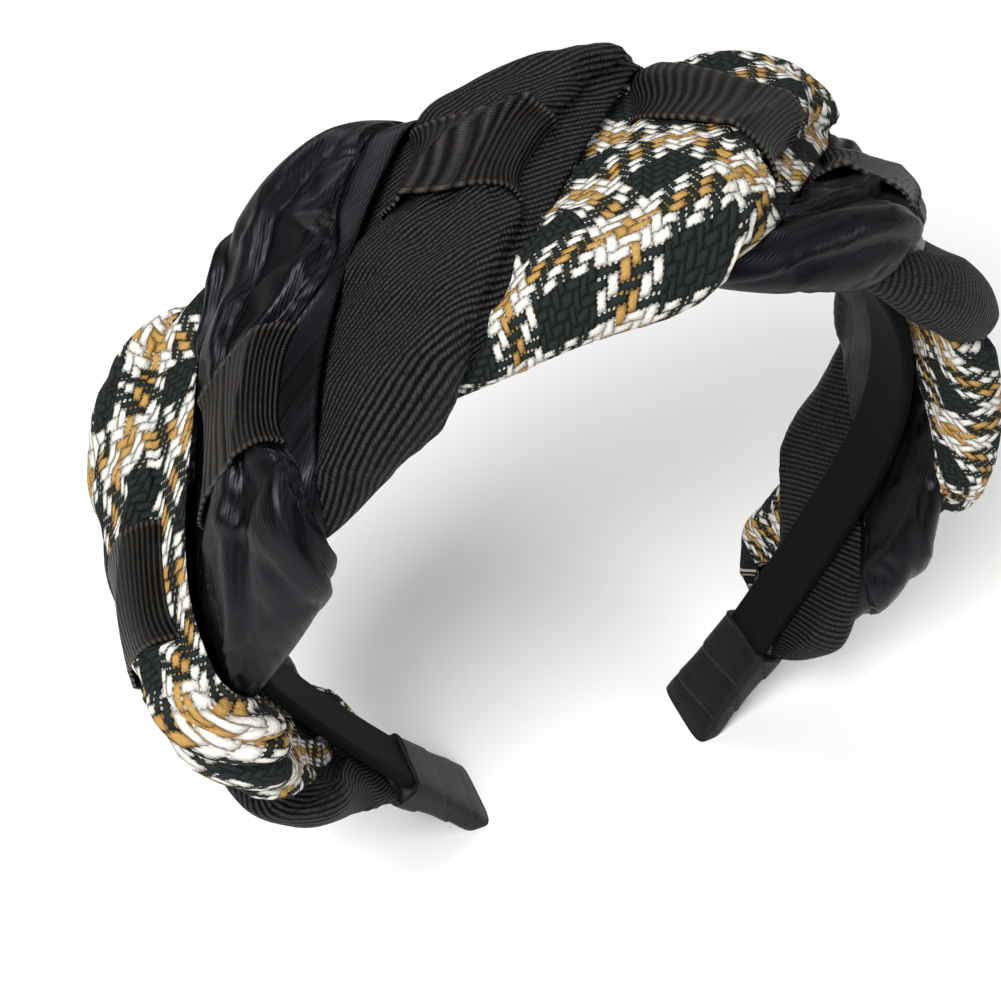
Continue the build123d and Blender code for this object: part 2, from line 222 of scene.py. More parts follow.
# %% The way of each strand
def turns_at(name, place):
    """Turns that a strand has made at places, smooth and rising all the way."""
    rows = np.array([(row.place * BRAID_HALF, row.turns) for row in STRANDS[name].turns])
    rise = np.diff(rows[:, 1]) / np.diff(rows[:, 0])
    slope = np.concatenate([rise[:1], 2 * rise[:-1] * rise[1:] / (rise[:-1] + rise[1:]), rise[-1:]])
    row = np.clip(np.searchsorted(rows[:, 0], place) - 1, 0, len(rise) - 1)
    span = rows[row + 1, 0] - rows[row, 0]
    t = (place - rows[row, 0]) / span
    start = (1 + 2 * t) * (1 - t) ** 2 * rows[row, 1] + t * (1 - t) ** 2 * slope[row] * span
    return start + t * t * (3 - 2 * t) * rows[row + 1, 1] - t * t * (1 - t) * slope[row + 1] * span


def heading(name, place):
    """Share of a strand's way that runs along the hoop, and the share that runs round it."""
    climb = (turns_at(name, place + 0.5) - turns_at(name, place - 0.5)) * girth(place)
    return 1 / np.hypot(1, climb), climb / np.hypot(1, climb)


def across_strand(name, place, offset):
    """Places and turns at offsets square to a strand's middle line, ahead of it where positive."""
    along, around = heading(name, place)
    return place - offset * around, turns_at(name, place) + offset * along / girth(place)


def find_ties(name):
    """Places where a strand is tied as it crosses the top, apart from those by the ends."""
    fine = np.linspace(-TIE_REGION * BRAID_HALF, TIE_REGION * BRAID_HALF, 4000)
    turns = turns_at(name, fine)
    crossings = np.arange(-2, 4) + STRANDS[name].tie
    return [float(np.interp(c, turns, fine)) for c in crossings if turns[0] < c < turns[-1]]


TIES = {name: find_ties(name) for name in STRANDS}
for name, places in TIES.items():
    print(name, "tied at", [round(place, 1) for place in places])


def away_from_tie(name, place):
    """Distance along a strand to its nearest tie, signed, in millimetres."""
    ways = np.stack([(place - tie) / heading(name, np.array(tie))[0] for tie in TIES[name]])
    return np.take_along_axis(ways, np.abs(ways).argmin(axis=0)[None], axis=0)[0]


def squeeze(name, place):
    """How tightly the narrow ribbon holds a strand at places: 1 under it, 0 away from it."""
    return np.exp(-((away_from_tie(name, place) / (TIE_SPREAD * RIBBON_WIDTH)) ** 4))


def half_width(name, place, side):
    """Width of a strand to one side of its middle line, as far as its share of the room goes."""
    natural = STRAND_WIDTH / 2 * girth(place) / girth(np.array(0.0))
    neighbour, shift = ABOVE[name] if side > 0 else BELOW[name]
    own, other = STRANDS[name].width, STRANDS[neighbour].width
    low, high = 0 * natural, 2 * natural
    for _ in range(HALVINGS):
        offset = (low + high) / 2
        here, turn = across_strand(name, place, side * offset)
        edge = (turns_at(name, here) * other + (turns_at(neighbour, here) + shift) * own) / (own + other)
        inside = (turn - edge) * side < 0
        low, high = np.where(inside, offset, low), np.where(inside, high, offset)
    along, around = heading(neighbour, here)
    away = (turn - turns_at(neighbour, here) - shift) * girth(here) * along
    tied = np.maximum(squeeze(neighbour, here + away * around), squeeze(name, place))
    overlap = OVERLAP * oval(place)[4] * (1 - underside(here, turn)) * (1 - tied)
    gap = (RIBBON_GAP + RIBBON_THICKNESS + FABRIC_GAP) * tied
    held = np.minimum(natural, low + overlap - gap) * (1 - STRANDS[name].squeeze * squeeze(name, place))
    return held, np.minimum(MOST_SPREAD * natural, low + UNDER_SPREAD)


halves = [half_width("tweed", np.array(TIES["tweed"][2]), side)[0] for side in (-1, 1)]
print("tweed's half widths at a tie, mm", np.round(halves, 1))

# %% [markdown]
# ## Strands
# Each strand is a sleeve of cloth round soft filling, flattened as it is wound. It could be a curve with
# a bevel, but such a tube has one section all the way. Here a flat grid is rolled into the sleeve: one
# way of the grid runs along the strand, the other once round its section, and the grid's own UV map
# becomes the cloth, in millimetres of warp and weft. The cloth doesn't lie straight on its strand: it was
# cut on the slant and twists as it is wound, so a table turns it little by little, by adding up the slant
# along the way.

# %% How the cloth is turned on each strand
Slant = namedtuple("Slant", "place degrees")
SLANTS = {
    "tweed": (
        Slant(-0.95, -15.0), Slant(-0.6, -12.0), Slant(-0.32, -24.0), Slant(-0.14, -56.0),
        Slant(0.0, -52.0), Slant(0.08, -28.0), Slant(0.2, -28.0), Slant(0.5, -15.0),
    ),
    "satin": (
        Slant(-0.9, -25.0), Slant(-0.44, -32.0), Slant(-0.2, -25.0), Slant(0.14, -42.0), Slant(0.38, -42.0),
        Slant(0.7, -25.0),
    ),
    "ribbed": (
        Slant(-0.9, -20.0), Slant(-0.5, -38.0), Slant(-0.18, -43.0), Slant(0.0, -38.0), Slant(0.1, -38.0),
        Slant(0.28, -110.0),
    ),
}

# %% Stations along a strand and points round its section
# Shares of the way round a section at which its inner face ends, and the angles in degrees there
FACES_END = (0, 0.13, 0.87, 1)
FACE_ANGLES = (-90, 0, 180, 270)
Stations = namedtuple("Stations", "place low high under_low under_high hold tied way slant sunk run")


def stations_of(name, count):
    """Even steps along a strand: place, half widths, the tie's hold and distance, way, the cloth's turn."""
    reach = BRAID_HALF - STRAND_WIDTH / 2 * REACHES[0].near
    fine = np.linspace(-reach, reach, 10 * count)
    line = on_oval(fine, turns_at(name, fine), 0.0)
    ways = np.concatenate([[0.0], np.cumsum(np.linalg.norm(np.diff(line, axis=0), axis=1))]) / MM
    way = np.linspace(0, ways[-1], count + 1)
    place = np.interp(way, ways, fine)
    low, under_low = half_width(name, place, -1)
    high, under_high = half_width(name, place, 1)
    slant = np.radians(blend(SLANTS[name], place / BRAID_HALF)[0])
    step = np.diff(way, prepend=0.0)
    sunk, run = np.cumsum(np.sin(slant) * step), np.cumsum(np.cos(slant) * step)
    hold, tied = squeeze(name, place), away_from_tie(name, place)
    return Stations(place, low, high, under_low, under_high, hold, tied, way, slant, sunk, run)


def squarish(angle, roundness):
    """Shares across and upwards of a squarish oval at angles. A roundness of 2 gives an ellipse."""
    across, up = np.cos(angle), np.sin(angle)
    power = 2 / roundness
    return np.copysign(np.abs(across) ** power, across), np.copysign(np.abs(up) ** power, up)


def section_points(name, stations, around, relief):
    """Points of a sleeve at shares of the way round its section, from the middle of its inner face."""
    strand = STRANDS[name]
    columns = [values[:, None] for values in stations]
    place, low, high, under_low, under_high, hold, tied, way, slant, sunk, _ = columns
    angle = np.radians(np.interp(around, FACES_END, FACE_ANGLES))[None, :]
    share, rise = squarish(angle, strand.roundness)
    laid = sunk - share * STRAND_WIDTH / 2 * np.cos(slant)
    lift, slide = relief(place, way, tied, share, laid)
    # A crease swells from the sleeve's edge and is gone on the face that rests on the hoop
    swell = np.clip(rise, 0, 1) ** 0.7
    moved = share + slide * swell
    # Beneath its ties the padding spreads until it meets its neighbour, so no light comes through
    spread = np.clip(-2.5 * rise, 0, 1)
    high, low = high + (under_high - high) * spread, low + (under_low - low) * spread
    here, turn = across_strand(name, place, moved * np.where(share > 0, high, low))
    under = underside(here, turn)
    full = oval(here)[4]
    lean = -SHINGLE * share * (1 - UNDER_LEAN * under)
    pad = strand.pad + (UNDER_PAD - strand.pad) * under
    outer = lean + pad * (1 - LEAN * share) * rise * (1 - TIE_FLATTENING * hold)
    outer = outer + lift * swell * (1 - under)
    outer = np.minimum(outer, UNDER_PAD + (strand.pad + 2 * SHINGLE) * (1 - under)) * full
    inner = np.maximum((lean + INNER_PAD * rise) * full, FABRIC_GAP / 2 - CORE * full)
    return on_oval(here, turn, np.where(rise > 0, outer, inner))


# %% Grids, and pieces made from them
def grid(rows, columns):
    """A bmesh with a flat grid of a size that doesn't matter, and the row and column of each vertex."""
    bm = bmesh.new()
    uv = bm.loops.layers.uv.new("cloth")
    bmesh.ops.create_grid(bm, x_segments=rows, y_segments=columns, size=1.0, calc_uvs=True)
    cells = {}
    for vert in bm.verts:
        cells[vert] = round((vert.co.x + 1) / 2 * rows), round((vert.co.y + 1) / 2 * columns)
    return bm, uv, cells


def laid_out(points, flat):
    """A bmesh of a grid, with its vertices at points and its UV map at flat places in millimetres."""
    bm, uv, cells = grid(points.shape[0] - 1, points.shape[1] - 1)
    for face in bm.faces:
        for loop in face.loops:
            loop[uv].uv = flat[cells[loop.vert]]
    for vert, cell in cells.items():
        vert.co = points[cell]
    return bm


def close_sleeve(bm):
    """Joins the seam of a rolled grid and closes its two ends, with all faces outwards."""
    bmesh.ops.remove_doubles(bm, verts=bm.verts, dist=0.001 * MM)
    bmesh.ops.holes_fill(bm, edges=[edge for edge in bm.edges if edge.is_boundary], sides=0)
    bmesh.ops.recalc_face_normals(bm, faces=bm.faces)


def finished(bm, name):
    """Piece with the shape of a bmesh, which stands at the origin."""
    mesh = bpy.data.meshes.new(name)
    bm.to_mesh(mesh)
    bm.free()
    mesh.shade_smooth()
    piece = bpy.data.objects.new(name, mesh)
    bpy.context.collection.objects.link(piece)
    return piece


# %% [markdown]
# Padding pushes its cloth out wherever nothing holds it, and spare cloth wrinkles beside what does. A cloth
# simulation finds that: a coarse copy of each sleeve, its cloth a little larger than it should be, is held
# where it is tied and where it rests on the others, and filled under pressure. How far each point moved is
# kept, to a limit that is smaller for a stiffer cloth, and added to the fine sleeve. The coarse copy goes.

# %% Fill a coarse sleeve under pressure
FRAMES, PRESSURE, SPARE_CLOTH = 18, 4.0, 0.05
COARSE_ROWS, COARSE_COLUMNS = 250, 46
# Shares round the section between which the cloth is free, the hold above which it isn't, and how many
# rows are held at each end
FREE_FROM, FREE_TO, HELD_FROM, HELD_ROWS = 0.16, 0.84, 0.7, 3
MOST_MOVE = {"satin": 1.1, "tweed": 0.8, "ribbed": 0.4}


def no_relief(place, way, tied, share, laid):
    """A plain sleeve."""
    return 0.0, 0.0


def add_filling(sleeve, held):
    """Cloth that pushes out under pressure everywhere but at its held vertices."""
    pins = sleeve.vertex_groups.new(name="held")
    pins.add([int(index) for index in np.flatnonzero(held)], 1.0, "REPLACE")
    cloth = sleeve.modifiers.new("filling", "CLOTH")
    cloth.point_cache.frame_end = FRAMES
    cloth.collision_settings.use_collision = False
    settings = cloth.settings
    settings.quality, settings.mass = 6, 0.2
    settings.tension_stiffness, settings.compression_stiffness, settings.bending_stiffness = 12, 12, 0.4
    settings.shrink_min = -SPARE_CLOTH
    settings.use_pressure, settings.uniform_pressure_force = True, PRESSURE
    settings.effector_weights.gravity = 0
    settings.vertex_group_mass = pins.name


def filling_moves(name):
    """How far each point of a coarse sleeve moves when it is filled."""
    stations = stations_of(name, COARSE_ROWS)
    around = np.linspace(0, 1, COARSE_COLUMNS + 1)
    points = section_points(name, stations, around, no_relief)
    bm, _, cells = grid(COARSE_ROWS, COARSE_COLUMNS)
    middle = points.mean(axis=1)
    for vert, cell in cells.items():
        vert.co = points[cell]
    bm.normal_update()
    if sum(vert.normal.dot(vert.co - Vector(middle[row])) for vert, (row, _) in cells.items()) < 0:
        bmesh.ops.reverse_faces(bm, faces=bm.faces)
    row, column = np.array(list(cells.values())).T
    sleeve = finished(bm, "coarse_sleeve")
    held = (around[column] < FREE_FROM) | (around[column] > FREE_TO) | (stations.hold[row] > HELD_FROM)
    held |= (row < HELD_ROWS) | (row > COARSE_ROWS - HELD_ROWS)
    add_filling(sleeve, held)
    for step in range(1, FRAMES + 1):
        bpy.context.scene.frame_set(step)
    filled = sleeve.evaluated_get(bpy.context.evaluated_depsgraph_get()).data
    flat = np.zeros(3 * len(row))
    filled.vertices.foreach_get("co", flat)
    moves = 0 * points
    moves[row, column] = flat.reshape(-1, 3) - points[row, column]
    bpy.context.scene.frame_set(1)
    bpy.data.meshes.remove(sleeve.data)
    far = np.linalg.norm(moves, axis=2, keepdims=True) / MM
    print(name, "moved by its filling", np.round(far.mean(), 2), "mm, at most", np.round(far.max(), 2))
    share = np.maximum(far / MOST_MOVE[name], 1e-6)
    return moves * np.tanh(share) / share


def resampled(field, rows, columns):
    """A coarse field of moves, blended to a finer grid."""
    for axis, count in ((0, rows), (1, columns)):
        at = np.linspace(0, field.shape[axis] - 1, count + 1)
        low = np.minimum(at.astype(int), field.shape[axis] - 2)
        share = (at - low).reshape((-1, 1, 1) if axis == 0 else (1, -1, 1))
        field = np.take(field, low, axis) * (1 - share) + np.take(field, low + 1, axis) * share
    return field


# %% Roll a flat grid into a sleeve
def cloth_sleeve(name, lengthwise, roundwise, relief):
    """Closed sleeve of a strand, its UV map in millimetres along and round the cloth."""
    stations = stations_of(name, lengthwise)
    around = np.linspace(0, 1, roundwise + 1)
    points = section_points(name, stations, around, relief)
    points = points + resampled(filling_moves(name), lengthwise, roundwise)
    # The cloth's width is the same all along, so its threads draw together where it is tied
    plain = section_points(name, stations, around, no_relief)
    rounds = np.linalg.norm(np.diff(plain, axis=1), axis=2).cumsum(axis=1)
    rounds = np.concatenate([0 * rounds[:, :1], rounds], axis=1) / MM
    rounds = (rounds / rounds[:, -1:] - 0.5) * np.median(rounds[:, -1])
    run, sunk, slant = stations.run[:, None], stations.sunk[:, None], stations.slant[:, None]
    flat = np.stack([run - rounds * np.sin(slant), sunk + rounds * np.cos(slant)], axis=-1)
    bm = laid_out(points, flat)
    close_sleeve(bm)
    piece = finished(bm, f"{name}_cloth")
    long, broad = round(stations.way[-1]), round(float(np.ptp(rounds[0])))
    print(piece.name, len(piece.data.polygons), "faces,", long, "mm long,", broad, "mm round")
    return piece


# %% [markdown]
# ## Folds
# A sleeve that is drawn together under a ribbon keeps its cloth, so the cloth stands in folds on both
# sides of the tie and they die out along the strand. The satin is laid in long pleats that overlap like
# shingles, each with a rounded edge and a sharp step under it. Both are reliefs on the sleeve: a lift of
# the surface, and for a pleat a slide of its edge over the step.

# %% Reliefs of the three cloths
def waves(way, share, *rows):
    """Sum of slow waves, from rows of a height, waves over the share, waves in a metre and a start."""
    total = 0.0
    for high, over, along, start in rows:
        total = total + high * np.sin(2 * np.pi * (over * share + along * way * MM) + start)
    return total


def gathers(tied, share, depth, folds, length, seed):
    """Folds that stand on both sides of a tie and die out along the strand."""
    near = np.exp(-(np.clip(np.abs(tied) - RIBBON_WIDTH / 2, 0, None) / length) ** 1.6)
    start = seed * np.where(tied > 0, 1.0, 2.3)
    fold = np.sin(np.pi * folds * share + start) + 0.5 * np.sin(np.pi * 1.7 * folds * share + 2 * start)
    return depth * near * (np.abs(fold / 1.5) ** 0.7 * np.sign(fold))


# Width of a pleat, its height, the share of it at which its step begins, and the slide of its edge
PLEAT, PLEAT_HEIGHT, STEP_FROM, EDGE_SLIDE = 14.0, 2.4, 0.8, 0.04


def satin_pleats(place, way, tied, share, laid):
    """Long overlapping pleats, closer together where the ribbon ties them."""
    wander = waves(way, share, (0.1, 0.2, 9.0, 0.4))
    phase = (laid / PLEAT + wander + 0.3) % 1.0
    pleat = np.minimum((phase / STEP_FROM) ** 0.8, np.clip((1 - phase) / (1 - STEP_FROM), 0, 1) ** 0.7)
    edge = np.exp(-((phase - STEP_FROM - 0.04) / 0.07) ** 2)
    lift = PLEAT_HEIGHT * (pleat - 0.6) + gathers(tied, share, 0.12, 5.0, 9.0, 1.3)
    return lift + waves(way, share, (0.15, 0.5, 15.0, 2.0)), -EDGE_SLIDE * edge


# Where the lobe by the left end lies on the hoop, its half length, and how deep its folds are
LOBE_PLACE, LOBE_REACH, LOBE_DEPTH = -110.0, 17.0, 3.4


def tweed_folds(place, way, tied, share, laid):
    """Deep folds in the lobe that hangs by the left end, and small gathers at the other ties."""
    lobe = np.exp(-((place - LOBE_PLACE) / LOBE_REACH) ** 4)
    wander = waves(way, share, (0.1, 0.2, 14.0, 0.0))
    fold = np.abs(np.sin(np.pi * (share * 1.75 + wander + 0.12))) ** 0.6
    lift = LOBE_DEPTH * lobe * (fold - 0.7) + gathers(tied, share, 0.3, 4.0, 6.0, 0.7)
    return lift + waves(way, share, (0.2, 0.4, 16.0, 1.0), (0.12, 1.1, 31.0, 0.3)), 0.0


def ribbed_folds(place, way, tied, share, laid):
    """A stiffer cloth: shallow folds at the ties and a slow swell."""
    lift = gathers(tied, share, 0.45, 2.6, 9.0, 2.1) + waves(way, share, (0.3, 0.35, 13.0, 0.6))
    return lift, 0.0


satin = cloth_sleeve("satin", 620, 140, satin_pleats)
tweed = cloth_sleeve("tweed", 640, 140, tweed_folds)
ribbed = cloth_sleeve("ribbed", 560, 120, ribbed_folds)

# %% [markdown]
# ## Ties
# A narrow grosgrain ribbon passes square across each strand where it crosses the top, and goes under
# the braid on both sides. Each visible stretch is a short strip of cloth bent over the strand. It is
# pulled tight, so it is creased: each crease is a ridge with a flatter face on both sides.

# %% Bend a strip over each crossing
# Degrees that a tie goes on under its strand at both ends, and its thickness in millimetres
RIBBON_TUCK, RIBBON_WALL = 20.0, 0.6
# Share of a tie's length over which a crease falls away, and how near its strand a tie may come
CREASE_REACH, LEAST_LIFT = 0.08, 0.45
Crease = namedtuple("Crease", "middle slant bow height")
CREASES = {
    1: (Crease(0.55, 0.10, 0.0, 1.05),),
    2: (Crease(0.36, -0.08, 0.03, 1.65), Crease(0.62, 0.10, 0.0, 0.75)),
    3: (Crease(0.60, 0.06, 0.02, 1.2), Crease(0.33, -0.05, 0.0, 0.6)),
    4: (Crease(0.50, 0.10, -0.07, 2.85),),
    5: (Crease(0.56, 0.05, 0.04, 1.05), Crease(0.80, -0.06, 0.0, 1.05)),
    6: (Crease(0.45, 0.08, 0.0, 1.2),),
    7: (Crease(0.50, -0.06, 0.02, 1.35),),
    8: (Crease(0.55, 0.05, 0.0, 1.2),),
}


def tie_points(name, place, around, lift):
    """Points of a tie at places along the strand and shares of the way across it."""
    strand = STRANDS[name]
    angle = np.radians((180 + 2 * RIBBON_TUCK) * around - RIBBON_TUCK)
    share, rise = squarish(angle, strand.roundness)
    flattened = 1 - TIE_FLATTENING * squeeze(name, place)
    pad = np.where(rise > 0, strand.pad * (1 - LEAN * share) * flattened, INNER_PAD)
    sides = np.where(share > 0, half_width(name, place, 1)[0], half_width(name, place, -1)[0])
    here, turn = across_strand(name, place, share * (sides + lift))
    return on_oval(here, turn, (rise * pad - SHINGLE * share) * oval(here)[4] + rise * lift)


# How far a tie is set along its strand, and its two ends to either side, so that it crosses slantwise
TieSet = namedtuple("TieSet", "shift skew")
TIE_SETS = {2: TieSet(0.0, 1.5), 4: TieSet(0.0, 1.0), 5: TieSet(4.5, 6.0)}


def ribbon_tie(number, name, tie):
    """One tie, a strip with its UV map in millimetres along and across the ribbon."""
    run_along = float(heading(name, np.array(tie))[0])
    lengthwise, widthwise = 140, 44
    around, side = np.linspace(0, 1, lengthwise + 1)[:, None], np.linspace(-1, 1, widthwise + 1)[None, :]
    ridge = 0.0
    for crease in CREASES[number]:
        middle = crease.middle + crease.slant * side + crease.bow * (1 - side ** 2)
        ridge = ridge + crease.height * (np.exp(-np.abs(around - middle) / CREASE_REACH) - 0.3)
    ripple = 0.16 * np.sin(9.0 * around + 2.0 * side + number)
    ripple = ripple + 0.1 * np.sin(17.0 * around - 3.0 * side + 2 * number)
    lift = RIBBON_GAP + 0.2 + (ridge + ripple) * np.abs(np.sin(np.pi * around)) ** 0.6
    lift = np.clip(lift, LEAST_LIFT, None)
    tie_set = TIE_SETS.get(number, TieSet(0.0, 0.0))
    ahead = RIBBON_WIDTH / 2 * side + tie_set.shift - tie_set.skew * np.cos(np.pi * (1 - around))
    points = tie_points(name, tie + run_along * ahead, around, lift)
    middle_line = points[:, widthwise // 2]
    length = float(np.linalg.norm(np.diff(middle_line, axis=0), axis=1).sum()) / MM
    flat = np.broadcast_arrays((around - 0.5) * length, side * RIBBON_WIDTH / 2)
    bm = laid_out(points, np.stack(flat, axis=-1))
    bmesh.ops.recalc_face_normals(bm, faces=bm.faces)
    piece = finished(bm, f"tie_{number}")
    wall = piece.modifiers.new("wall", "SOLIDIFY")
    wall.thickness = RIBBON_WALL * MM
    wall.offset = 0
    print(piece.name, "over the", name, "strand,", round(length, 1), "mm showing")
    return piece, name, length


ties = []
for number, (tie, name) in enumerate(sorted((tie, name) for name in STRANDS for tie in TIES[name]), 1):
    ties.append(ribbon_tie(number, name, tie))

# %% [markdown]
# ## Ribbon round the ends
# A satin ribbon is wound round each end of the hoop and folded flat over its tip, a little wider than the
# hoop. It is a short sleeve with a flat, rounded section that follows the leg of the hoop down to the
# surface it stands on, with the slanting edges of its turns raised a little.

# %% Wind the end ribbons
EndWrap = namedtuple("EndWrap", "place width height")
END_WRAP_WALL, END_WRAP_ROUNDNESS = 1.0, 4.5
# How far to either side of the hoop's end the line may lie where the ribbon meets the surface
FOOT_SEARCH = 6.0
END_WRAP_GIRTH = 40.0
# Spacing of the ribbon's turns, and how high the edge of each stands
TURN_SPACING, TURN_STEP = 9.5, 0.38
END_WRAP = (
    EndWrap(BRAID_HALF + 0.5, 15.5, 8.2),
    EndWrap(BAND_HALF - END_WRAP_LENGTH / 2, 15.5, 6.0),
    EndWrap(BAND_HALF + 1.0, 17.3, 5.0),
)


def end_wrap(label, side):
    """Wound ribbon of one end, closed where it stands."""
    lengthwise, roundwise = 110, 112
    ways = np.linspace(0, 1, lengthwise + 1), np.linspace(0, 1, roundwise + 1)
    along, around = np.meshgrid(*ways, indexing="ij")
    share, rise = squarish(2 * np.pi * around - np.pi / 2, END_WRAP_ROUNDNESS)
    low, high = np.full(along.shape, BAND_HALF - FOOT_SEARCH), np.full(along.shape, BAND_HALF + FOOT_SEARCH)
    for _ in range(HALVINGS):
        foot = (low + high) / 2
        width, height = blend(END_WRAP, foot)
        above = from_hoop(side * foot, share * width / 2, (rise + 1) * height / 2 - END_WRAP_WALL)[..., 2] > 0
        low, high = np.where(above, foot, low), np.where(above, high, foot)
    place = END_WRAP[0].place + (foot - END_WRAP[0].place) * along
    width, height = blend(END_WRAP, place)
    # The ribbon's turns lie slantwise, each over the one before
    step = ((place - END_WRAP[0].place + 4.5 * share * rise + 3.0 * share) / TURN_SPACING) % 1.0
    lift = TURN_STEP * np.minimum(step ** 0.6, np.clip((1 - step) / 0.05, 0, 1))
    lift = lift * np.clip((1 - along) / 0.12, 0, 1)
    # The last turn is pinched flat where it is folded over the tip
    pinch = 0.5 * np.exp(-((along - 1) / 0.1) ** 2) * np.cos(np.pi * share) - 0.35 * lift
    beside = share * (width / 2 - 0.3 + lift * 0.6)
    over = (rise + 1) * (height / 2) - END_WRAP_WALL + rise * (lift - 0.3) - np.clip(rise, 0, 1) * pinch
    points = from_hoop(side * place, beside, over)
    points[..., 2] = np.clip(points[..., 2], 0.0, None)
    flat = np.stack([along * END_WRAP_LENGTH, around * END_WRAP_GIRTH], axis=-1)
    bm = laid_out(points, flat)
    close_sleeve(bm)
    piece = finished(bm, label)
    lowest = min(vert.co.z for vert in piece.data.vertices) / MM
    print(label, len(piece.data.polygons), "faces, lowest at", round(lowest, 2), "mm")
    return piece


end_wraps = {side: end_wrap(f"wound_ribbon_{side}", sign) for side, sign in (("left", -1), ("right", 1))}

# %% [markdown]
# ## Materials
# Every cloth here is a pattern of threads, and each pattern is a few sums on the cloth's own
# millimetres: which thread is on top, how high it stands, and what colour it was dyed. One small function
# adds a node with its settings and links, and waves along the cloth make the ribs and threads.

# %% Colours and nodes
def linear(code):
    """Linear colour from an sRGB hex value."""
    channels = [int(code[i:i + 2], 16) / 255 for i in (1, 3, 5)]
    return [c / 12.92 if c <= 0.04045 else ((c + 0.055) / 1.055) ** 2.4 for c in channels] + [1.0]


def node(tree, kind, inputs=(), stops=(), interpolation="LINEAR", **settings):
    """Adds a node, from pairs of a socket and a value, node or output, a ramp's stops, and settings."""
    made = tree.nodes.new(f"ShaderNode{kind}")
    for key, value in settings.items():
        setattr(made, key, value)
    if stops:
        made.color_ramp.interpolation = interpolation
        while len(made.color_ramp.elements) < len(stops):
            made.color_ramp.elements.new(0.5)
        for element, (position, code) in zip(made.color_ramp.elements, stops):
            element.position = position
            element.color = linear(code)
    for socket, value in inputs:
        if isinstance(value, bpy.types.Node):
            value = next(output for output in value.outputs if output.enabled)
        if isinstance(value, bpy.types.NodeSocket):
            tree.links.new(value, made.inputs[socket])
        else:
            made.inputs[socket].default_value = value
    return made


def fresh(name, roughness, **settings):
    """New material with its tree and its shader, whose constants are set on the shader's own sockets."""
    material = bpy.data.materials.new(name)
    material.use_nodes = True
    shader = material.node_tree.nodes["Principled BSDF"]
    shader.inputs["Roughness"].default_value = roughness
    for key, value in settings.items():
        shader.inputs[key.replace("_", " ")].default_value = value
    return material, material.node_tree, shader


def ripples(tree, way, length):
    """Waves of a length along a way, from -1 to 1."""
    turns = node(tree, "Math", [(0, way), (1, 2 * math.pi / length)], operation="MULTIPLY")
    return node(tree, "Math", [(0, turns)], operation="SINE")


def clothe(tree, shader, colour, height, depth, strength=1.0):
    """Gives a shader a colour, and a relief of a depth in metres."""
    tree.links.new(colour, shader.inputs["Base Color"])
    bump = node(tree, "Bump", [("Height", height), ("Distance", depth), ("Strength", strength)])
    tree.links.new(bump.outputs[0], shader.inputs["Normal"])


print("linear value of middle grey", round(linear("#808080")[0], 3))

# %% [markdown]
# ### Tweed
# A wool-blend tweed, woven 2/2 twill from soft threads: each thread goes over two and under two, a step
# further in each row. Bands of thick cream and tan threads cross a black-green ground in both directions,
# so there are solid checks where two bands meet and rows of single floats where a band crosses the ground.
# The dyed threads are 1.2 and 1.5 mm wide, and the ground's finer. The eye sees matt, bright floats with
# dark between them, and that dark is painted shade in the colour. A small wobble keeps the rows from lying
# as straight as a machine would draw them.

# %% Count the tweed's threads
Repeat = namedtuple("Repeat", "coloured coloured_width ground ground_width")
WARP, WEFT = Repeat(6, 1.2, 5, 1.14), Repeat(6, 1.5, 9, 1.033)
CREAM, TAN, GROUND = "#f2efe6", "#c39a58", "#262d2a"
# Where on the cloth a repeat starts, in millimetres along and across
PATTERN_START = (16.6, 10.5, 0.0)
# Waves of the wobble in a millimetre, and the widest swing of a thread in millimetres
WOBBLE, WOBBLE_MOVE = 0.4, 0.75

tweed_look, tree, shader = fresh("wool_blend_tweed_woven", 0.9, Specular_IOR_Level=0.12)
cloth = node(tree, "UVMap", uv_map="cloth")
wobble = [("Vector", cloth), ("Scale", WOBBLE), ("Detail", 2.0)]
wobble = node(tree, "TexNoise", wobble, noise_dimensions="2D")
shift = node(tree, "VectorMath", [(0, wobble.outputs["Color"]), (1, (0.5, 0.5, 0.5))], operation="SUBTRACT")
shift = node(tree, "VectorMath", [(0, shift), ("Scale", WOBBLE_MOVE)], operation="SCALE")
cloth = node(tree, "VectorMath", [(0, cloth), (1, shift)], operation="ADD")
cloth = node(tree, "VectorMath", [(0, cloth), (1, PATTERN_START)], operation="SUBTRACT")
axes = node(tree, "SeparateXYZ", [(0, cloth)])


def counted(way, repeat):
    """Threads counted along a way in millimetres: the coloured ones of each repeat, then its ground."""
    band = repeat.coloured * repeat.coloured_width
    length, threads = band + repeat.ground * repeat.ground_width, repeat.coloured + repeat.ground
    turn = node(tree, "Math", [(0, way), (1, length)], operation="DIVIDE")
    done = node(tree, "Math", [(0, turn)], operation="FLOOR")
    within = node(tree, "Math", [(0, way), (1, length)], operation="FLOORED_MODULO")
    coloured = node(tree, "Math", [(0, within), (1, band)], operation="MINIMUM")
    ground = node(tree, "Math", [(0, within), (1, coloured)], operation="SUBTRACT")
    coloured = node(tree, "Math", [(0, coloured), (1, repeat.coloured_width)], operation="DIVIDE")
    ground = node(tree, "Math", [(0, ground), (1, repeat.ground_width)], operation="DIVIDE")
    count = node(tree, "Math", [(0, coloured), (1, ground)], operation="ADD")
    return node(tree, "Math", [(0, done), (1, float(threads)), (2, count)], operation="MULTIPLY_ADD")


along_weft, along_warp = counted(axes.outputs[0], WEFT), counted(axes.outputs[1], WARP)
weft_number = node(tree, "Math", [(0, along_weft)], operation="FLOOR")
warp_number = node(tree, "Math", [(0, along_warp)], operation="FLOOR")
in_weft = node(tree, "Math", [(0, along_weft)], operation="FRACT")
in_warp = node(tree, "Math", [(0, along_warp)], operation="FRACT")
print("warp repeats every", WARP.coloured + WARP.ground, "threads, weft every", WEFT.coloured + WEFT.ground)

